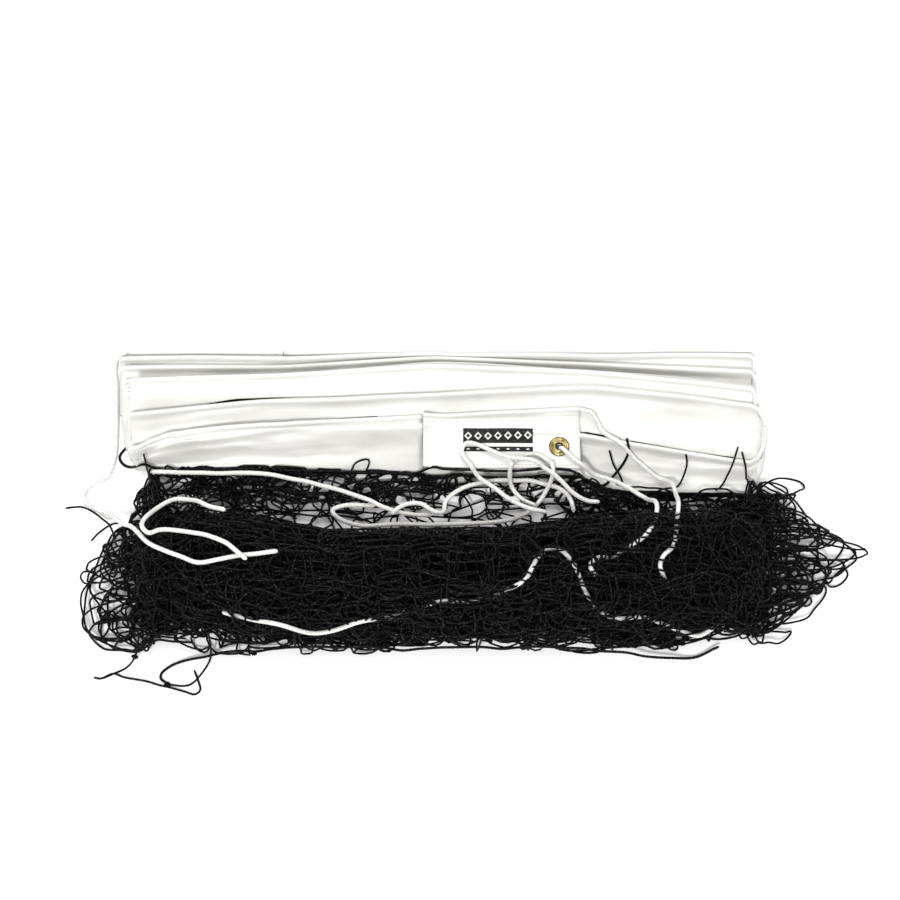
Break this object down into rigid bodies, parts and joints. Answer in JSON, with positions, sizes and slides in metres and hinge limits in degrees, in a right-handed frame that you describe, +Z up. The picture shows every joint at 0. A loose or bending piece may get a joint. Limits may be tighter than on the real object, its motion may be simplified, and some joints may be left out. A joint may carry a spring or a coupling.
{
  "type": "tennis net",
  "caption": "Tennis net folded for storage: white vinyl headband in a zigzag stack, black knotted netting gathered in front, white lacing cords and a brass eyelet.",
  "frame": {"origin": "on the ground under the middle of the headband and netting", "axes": "+X along the folded runs towards the end patch's free end, +Y from the netting towards the headband, +Z up"},
  "size_m": [0.8443, 0.3822, 0.1144],
  "materials": {
    "band_vinyl": "satin",
    "patch_vinyl": "satin",
    "stitch_thread": "matte",
    "white_cord": "matte",
    "net_twine": "satin",
    "border_cord": "satin",
    "label_print": "satin",
    "eyelet_brass": "polished"
  },
  "bodies": {
    "root": {"headband": "band_vinyl", "hem_stitching": "stitch_thread", "headline_cord": "white_cord", "netting": "net_twine", "far_end_patch": "patch_vinyl", "far_end_stitching": "stitch_thread", "far_eyelet": "eyelet_brass", "far_eyelet_washer": "eyelet_brass", "headline_tail": "white_cord", "far_headline_tail": "white_cord", "eyelet_lacing_cord": "white_cord", "long_lacing_cord": "white_cord", "looped_lacing_cord": "white_cord", "ring_lacing_cord": "white_cord", "vee_lacing_cord": "white_cord", "side_line_cord": "white_cord", "bottom_line_cord": "white_cord", "bottom_border_cord": "border_cord", "left_loose_twine": "net_twine", "corner_loose_twine": "net_twine", "right_loose_twine": "net_twine"},
    "end_flap": {"end_patch": "patch_vinyl", "end_patch_stitching": "stitch_thread", "label": "label_print", "eyelet": "eyelet_brass", "eyelet_washer": "eyelet_brass"}
  },
  "joints": [
    {"name": "end_flap_lift", "type": "hinge", "parent": "root", "child": "end_flap", "pos_m": [-0.052, 0.058, 0.04586], "axis": [0, -1, 0], "range_deg": [0, 60], "deforming": ["headline_tail", "eyelet_lacing_cord", "looped_lacing_cord", "ring_lacing_cord", "vee_lacing_cord"]}
  ]
}
